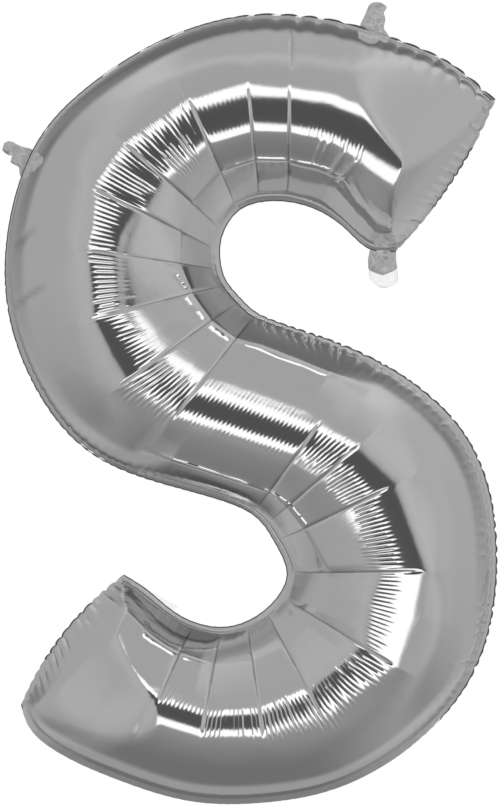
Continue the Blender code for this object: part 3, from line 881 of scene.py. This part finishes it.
# How far the left tab's end has curled forward, how far each film of a tab stands off the
# middle, and the folds of the crumpled film: how far it is from one to the next and how tall
# they are, all in metres.
LEFT_TAB_CURL = 0.008
TAB_PUFF = 0.0016
TAB_FOLDS = ((0.018, 0.0016), (0.009, 0.0005))


def crumple(plan, sizes, seed):
    """Folded film: a sum of triangle waves in random directions, each with its own length.

    Three waves for each size, bent sideways by a sine so that no fold runs quite straight.
    """
    rng = np.random.default_rng(seed)
    total = np.zeros(plan.shape[:2])
    for length, tall in sizes:
        for angle in rng.uniform(0, math.pi, 3):
            along = plan @ np.array([math.cos(angle), math.sin(angle)])
            over = plan @ np.array([-math.sin(angle), math.cos(angle)])
            t = along / length + 0.35 * np.sin(over / length * 1.7 + rng.uniform(0, 6)) + rng.uniform()
            total += tall * (np.abs(2 * (t - np.floor(t + 0.5))) - 0.5)
    return total


def ruled(left, right, rows, count):
    """A grid of points (x, z), rows by columns, on straight lines from edge to edge.

    Each edge is a spline. Along the lines the points crowd toward both edges, as a cosine.
    """
    sides = []
    for edge in (left, right):
        edge = np.array(edge)
        walked = running(edge)
        number = np.interp(np.linspace(0, walked[-1], rows), walked, np.arange(len(edge)))
        sides.append(spline(edge)(number)[:, None])
    share = (1 - np.cos(np.linspace(0, math.pi, count))) / 2
    return mixed(sides[0], sides[1], share[:, None])


def film_tongue(name, plan, middle_y, puff, folds, material, seed, mark=0.0):
    """Two films joined at all their edges, one in front of the middle and one behind it.

    A film's distance from the middle is the puff and its own folds, times an arch that is 0
    at the edges. Both films share a third set of folds. All of it starts from 0 at the root.
    """
    rows, count = plan.shape[:2]
    u = np.linspace(-1, 1, count)[None, :]
    v = np.linspace(-1, 1, rows)[:, None]
    arch = np.sqrt((1 - np.abs(np.sin(u * math.pi / 2)) ** 4) * (1 - v**8))
    loose = ramp(v, -0.95, 0.1)
    shared = loose * crumple(plan, folds, seed) + middle_y
    depth = loose * arch
    front = shared - depth * (puff + 0.5 * np.abs(crumple(plan, folds, seed + 1)))
    back = shared + depth * (puff + 0.5 * np.abs(crumple(plan, folds, seed + 2)))
    films = np.stack([np.stack([plan[..., 0], y, plan[..., 1]], axis=-1) for y in (front, back)])
    number = np.arange(rows * count).reshape(rows, count)
    behind = number.copy()
    behind[1:-1, 1:-1] += rows * count
    rim = np.maximum(np.abs(u), np.maximum(v, 0)) ** 8
    marks = np.tile((mark * rim).ravel(), 2)
    faces = [quads(number), quads(behind)[:, ::-1]]
    return add_mesh(name, films.reshape(-1, 3), faces, material, mark=marks)


crumpled_film = aluminised_film("slack aluminised film", 0.42, 0.3)

for name, node, curl, seed, flat, area in (
    ("top_tab", "top_hang_tab", 0.0, 21, (0.028, 0.036), 0.00087),
    ("left_tab", "left_hang_tab", LEFT_TAB_CURL, 22, (0.026, 0.034), 0.00072),
):
    plan = ruled(*TAB_EDGES[name], *TAB_GRID)
    share = np.linspace(0, 1, TAB_GRID[0])[:, None]
    tab = film_tongue(name, plan, -curl * share**2, TAB_PUFF, TAB_FOLDS, crumpled_film, seed)
    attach(tab, "root")
    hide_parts(node)

# Filler neck and valve film
#
# A flat sleeve of both films at the inner corner of the upper end. Inside it lies a self
# closing valve of clear polythene, which shows below the sleeve's end as an open ring.

NECK_LEFT = ((0.13, 0.1765), (0.1285, 0.1715), (0.127, 0.162), (0.1272, 0.1535))
NECK_RIGHT = ((0.1565, 0.1755), (0.1575, 0.171), (0.1574, 0.164), (0.1586, 0.1545))
NECK_GRID = (70, 70)
NECK_POINT = 0.0085
NECK_PUFF = 0.0012
NECK_FOLDS = ((0.018, 0.0014), (0.009, 0.0005))

# The neck's sides run straight, and its end comes to a blunt point in the middle.
plan = ruled(NECK_LEFT, NECK_RIGHT, *NECK_GRID)
across = np.linspace(-1, 1, NECK_GRID[1])[None, :]
down = np.linspace(0, 1, NECK_GRID[0])[:, None]
plan[..., 1] -= NECK_POINT * (1 - np.abs(across)) * down**4
neck = film_tongue("neck", plan, 0.0, NECK_PUFF, NECK_FOLDS, crumpled_film, 31)
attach(neck, "root")
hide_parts("filler_neck")

VALVE_LEFT = ((0.129, 0.16), (0.1279, 0.147), (0.1301, 0.1404), (0.1344, 0.1361), (0.1399, 0.1325))
VALVE_RIGHT = ((0.1573, 0.16), (0.1593, 0.1448), (0.1584, 0.1383), (0.1519, 0.1338), (0.1464, 0.132))
VALVE_GRID = (60, 50)
VALVE_PUFF = 0.001
VALVE_FOLDS = ((0.014, 0.0007),)
# How much milkier the valve film is at its edges: partly its welds, partly painted edge shade.
VALVE_WELD_AND_SHADE = 0.5

# How far it is from one milky cloud in the clear film to the next, how much one hides at
# least and at most, and how deep the unevenness is, in metres.
CLOUD_MM = 5.5
CLEAREST = 0.02
CLOUDIEST = 0.16
CLOUD_DEPTH = 0.0004
POLYTHENE = "C9CCCE"


def clear_polythene(name):
    """Blown polythene film: lets most light through, a little milky, and milkier at its edges."""
    material, tree = new_material(name)
    place = add_node(tree, "TexCoord", {}).outputs["Object"]
    clouds = {"Vector": place, "Scale": 1000 / CLOUD_MM, "Detail": 3.0}
    cloud = add_node(tree, "TexNoise", clouds).outputs["Fac"]
    milky = add_node(tree, "MapRange", {"Value": cloud, "To Min": CLEAREST, "To Max": CLOUDIEST})
    # Milkier at the edges: partly the film's welds, partly painted edge shade.
    weld_and_shade = add_node(tree, "Attribute", {}, attribute_name="mark")
    both = {0: milky.outputs["Result"], 1: weld_and_shade.outputs["Fac"]}
    cover = add_node(tree, "Math", both, operation="ADD", use_clamp=True)
    bump = add_node(tree, "Bump", {"Height": cloud, "Strength": 0.4, "Distance": CLOUD_DEPTH})
    film_look = {
        "Base Color": srgb(POLYTHENE),
        "Roughness": 0.12,
        "IOR": 1.51,
        "Alpha": cover.outputs[0],
        "Normal": bump.outputs["Normal"],
    }
    shader = add_node(tree, "BsdfPrincipled", film_look)
    add_node(tree, "OutputMaterial", {"Surface": shader.outputs["BSDF"]})
    return material


clear_film = clear_polythene("clear polythene film")

plan = ruled(VALVE_LEFT, VALVE_RIGHT, *VALVE_GRID)
valve = film_tongue("valve", plan, 0.0, VALVE_PUFF, VALVE_FOLDS, clear_film, 41, VALVE_WELD_AND_SHADE)
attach(valve, "root")
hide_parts("valve_film")

# Clear corner of film in the lower bay
#
# A sliver of clear polythene that the die left standing outside the weld. The seam holds it
# along its inner edge.

FLAP_INNER = ((-0.1125, -0.199), (-0.0996, -0.2125), (-0.0865, -0.2215))
FLAP_OUTER = ((-0.1105, -0.1975), (-0.095, -0.2065), (-0.0795, -0.215))
FLAP_GRID = (50, 16)
FLAP_PUFF = 0.0003
FLAP_FOLDS = ((0.008, 0.0002),)

plan = ruled(FLAP_INNER, FLAP_OUTER, *FLAP_GRID)
flap = film_tongue("flap", plan, 0.0, FLAP_PUFF, FLAP_FOLDS, clear_film, 51)
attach(flap, "root")
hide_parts("bay_flap")

# Studio
#
# A white room seen as even grey by the film, a pale floor well below the balloon, and two
# long soft boxes above and below the lens, on one sheet with a dark gap between them.

# Half angles as the balloon sees them: of the dark gap's height and of the sheet's, then how
# far out to the sides the gap and the boxes reach.
CARD_DISTANCE = 8.0
DARK_HALF_ANGLE = math.radians(13.4)
CARD_HALF_ANGLE = math.radians(26.8)
GAP_SIDE_ANGLE = math.radians(21.5)
BOX_LEFT_ANGLE = math.radians(23)
BOX_RIGHT_ANGLE = math.radians(17.5)

# How wide the boxes' and the gap's edges fade, and how far the sheet goes past them, in
# metres at the sheet.
SIDE_SOFTNESS = 0.9
TOP_SOFTNESS = 0.7
GAP_SOFTNESS = 0.55
CARD_PAST_SIDES = 0.45
CARD_PAST_TOP = 0.35
BOX_WHITE = "FFFFFF"
DARK_GAP = "4A4A4A"
ROOM_GREY = "9B9B9B"
BOX_STRENGTH = 1.15


def faded(tree, source, edge, softness, below, above):
    """One colour below the edge and another above it, with a smooth step between them."""
    over = {"Value": source, "From Min": edge - softness / 2, "From Max": edge + softness / 2}
    step = add_node(tree, "MapRange", over, interpolation_type="SMOOTHSTEP").outputs["Result"]
    return add_node(tree, "MixRGB", {"Fac": step, "Color1": below, "Color2": above}).outputs["Color"]


def at_card(angle):
    """Where a direction at this angle from straight ahead meets the sheet."""
    return CARD_DISTANCE * math.tan(angle)


def card_glow():
    """Two soft boxes with cloth that fades at its edges, and the dark gap between them.

    By height the gap goes over to the boxes and they to the room, by width both fade out.
    """
    material, tree = new_material("soft boxes and dark gap")
    white, gap, room = srgb(BOX_WHITE), srgb(DARK_GAP), srgb(ROOM_GREY)
    place = add_node(tree, "TexCoord", {}).outputs["Object"]
    split = add_node(tree, "SeparateXYZ", {"Vector": place})
    x, z = split.outputs["X"], split.outputs["Z"]
    wide = add_node(tree, "Math", {0: x}, operation="ABSOLUTE").outputs[0]
    tall = add_node(tree, "Math", {0: z}, operation="ABSOLUTE").outputs[0]
    boxes = faded(tree, x, at_card(BOX_RIGHT_ANGLE), SIDE_SOFTNESS, white, room)
    boxes = faded(tree, x, -at_card(BOX_LEFT_ANGLE), SIDE_SOFTNESS, room, boxes)
    boxes = faded(tree, tall, at_card(CARD_HALF_ANGLE), TOP_SOFTNESS, boxes, room)
    dark = faded(tree, wide, at_card(GAP_SIDE_ANGLE), SIDE_SOFTNESS, gap, room)
    lit = faded(tree, tall, at_card(DARK_HALF_ANGLE), GAP_SOFTNESS, dark, boxes)
    light = add_node(tree, "Emission", {"Color": lit, "Strength": BOX_STRENGTH})
    add_node(tree, "OutputMaterial", {"Surface": light.outputs["Emission"]})
    return material


FOUR_CORNERED = [np.array([[0, 1, 2, 3]])]
half = at_card(BOX_LEFT_ANGLE) + CARD_PAST_SIDES
high = at_card(CARD_HALF_ANGLE) + CARD_PAST_TOP
y = -CARD_DISTANCE
corners = [(-half, y, -high), (half, y, -high), (half, y, high), (-half, y, high)]
boxes = add_mesh("front_boxes", np.array(corners), FOUR_CORNERED, card_glow())
boxes.visible_camera = boxes.visible_shadow = boxes.visible_diffuse = False

# Greys of the room as sRGB levels of 255, by how high a direction points, from straight down
# (-1) to straight up (1): in front of the balloon, behind it, and straight behind it.
FRONT_GREYS = (
    (-1, 114), (-0.87, 119), (-0.7, 130), (-0.5, 146), (-0.35, 159), (0, 166),
    (0.6, 166), (0.77, 168), (0.86, 186), (0.95, 172), (1, 174),
)
BEHIND_GREYS = ((-1, 158), (-0.25, 158), (0.1, 140), (0.45, 112), (1, 104))
BACKDROP_GREYS = ((-1, 70), (-0.2, 72), (0.15, 125), (1, 135))

# What the room's windows on both sides add, from the left (-1) to the right (1).
SIDE_GREYS = (
    (-1, 30), (-0.72, 36), (-0.58, 78), (-0.46, 64), (-0.38, 0), (0.3, 20),
    (0.46, 80), (0.58, 98), (0.7, 62), (0.84, 70), (1, 50),
)

# How far back a direction points where the greys behind and the backdrop's take over, and
# how wide each change is.
BEHIND_AT = (0.35, 0.3)
BACKDROP_AT = (0.81, 0.18)


def grey_ramp(tree, source, stops):
    """Greys along a value from -1 to 1."""
    place = add_node(tree, "MapRange", {"Value": source, "From Min": -1.0})
    greys = add_node(tree, "ValToRGB", {"Fac": place.outputs["Result"]})
    for k, (at, level) in enumerate(stops):
        while len(greys.color_ramp.elements) <= k:
            greys.color_ramp.elements.new(1.0)
        stop = greys.color_ramp.elements[k]
        stop.position = (at + 1) / 2
        stop.color = srgb(("%02X" % level) * 3)
    return greys.outputs["Color"]


scene = bpy.context.scene
world = bpy.data.worlds.new("white studio")
scene.world = world
world.use_nodes = True
tree = world.node_tree
tree.nodes.clear()
direction = add_node(tree, "TexCoord", {}).outputs["Generated"]
split = add_node(tree, "SeparateXYZ", {"Vector": direction})
x, y, z = split.outputs["X"], split.outputs["Y"], split.outputs["Z"]
room = faded(tree, y, *BEHIND_AT, grey_ramp(tree, z, FRONT_GREYS), grey_ramp(tree, z, BEHIND_GREYS))
room = faded(tree, y, *BACKDROP_AT, room, grey_ramp(tree, z, BACKDROP_GREYS))
added = {"Fac": 1.0, "Color1": room, "Color2": grey_ramp(tree, x, SIDE_GREYS)}
both = add_node(tree, "MixRGB", added, blend_type="ADD")

# The picture's own ground is plain white, and the film mirrors the grey room.
path = add_node(tree, "LightPath", {}).outputs["Is Camera Ray"]
seen = add_node(tree, "Background", {"Color": (1, 1, 1, 1)})
felt = add_node(tree, "Background", {"Color": both.outputs["Color"]})
choice = add_node(tree, "MixShader", {0: path, 1: felt.outputs[0], 2: seen.outputs[0]})
add_node(tree, "OutputWorld", {"Surface": choice.outputs[0]})

FLOOR_Z = -1.3
FLOOR_HALF = 1.6
FLOOR_PAINT = "E8E8E8"

paint, tree = new_material("pale studio floor")
matt = {"Base Color": srgb(FLOOR_PAINT), "Roughness": 0.8}
shader = add_node(tree, "BsdfPrincipled", matt)
add_node(tree, "OutputMaterial", {"Surface": shader.outputs["BSDF"]})
corners = [(FLOOR_HALF * x, FLOOR_HALF * y, FLOOR_Z) for x, y in ((-1, -1), (1, -1), (1, 1), (-1, 1))]
floor = add_mesh("floor", np.array(corners), FOUR_CORNERED, paint)
floor.visible_glossy = False

LAMP_WATTS = 60
LAMP_SIZE = 2.0
LAMP_PLACE = (-1.5, -2.0, 2.5)

lamp = bpy.data.lights.new("key", "AREA")
lamp.energy = LAMP_WATTS
lamp.size = LAMP_SIZE
key = bpy.data.objects.new("key", lamp)
key.location = LAMP_PLACE
key.rotation_euler = (math.radians(40), 0, math.radians(-35))
key.visible_glossy = False
scene.collection.objects.link(key)

# The lens is far off and long, as in the photo, and takes in this height of the picture.
CAMERA_DISTANCE = 9.0
PICTURE_HEIGHT = 0.8774
PICTURE_CENTRE = (-0.0016, 0.0065)
SENSOR_MM = 36

scene.view_settings.view_transform = "Standard"
lens = bpy.data.cameras.new("camera")
lens.sensor_width = SENSOR_MM
lens.lens = SENSOR_MM * CAMERA_DISTANCE / PICTURE_HEIGHT
lens.clip_end = 100
camera = bpy.data.objects.new("camera", lens)
camera.location = (PICTURE_CENTRE[0], -CAMERA_DISTANCE, PICTURE_CENTRE[1])
camera.rotation_euler = (math.pi / 2, 0, 0)
scene.collection.objects.link(camera)
scene.camera = camera
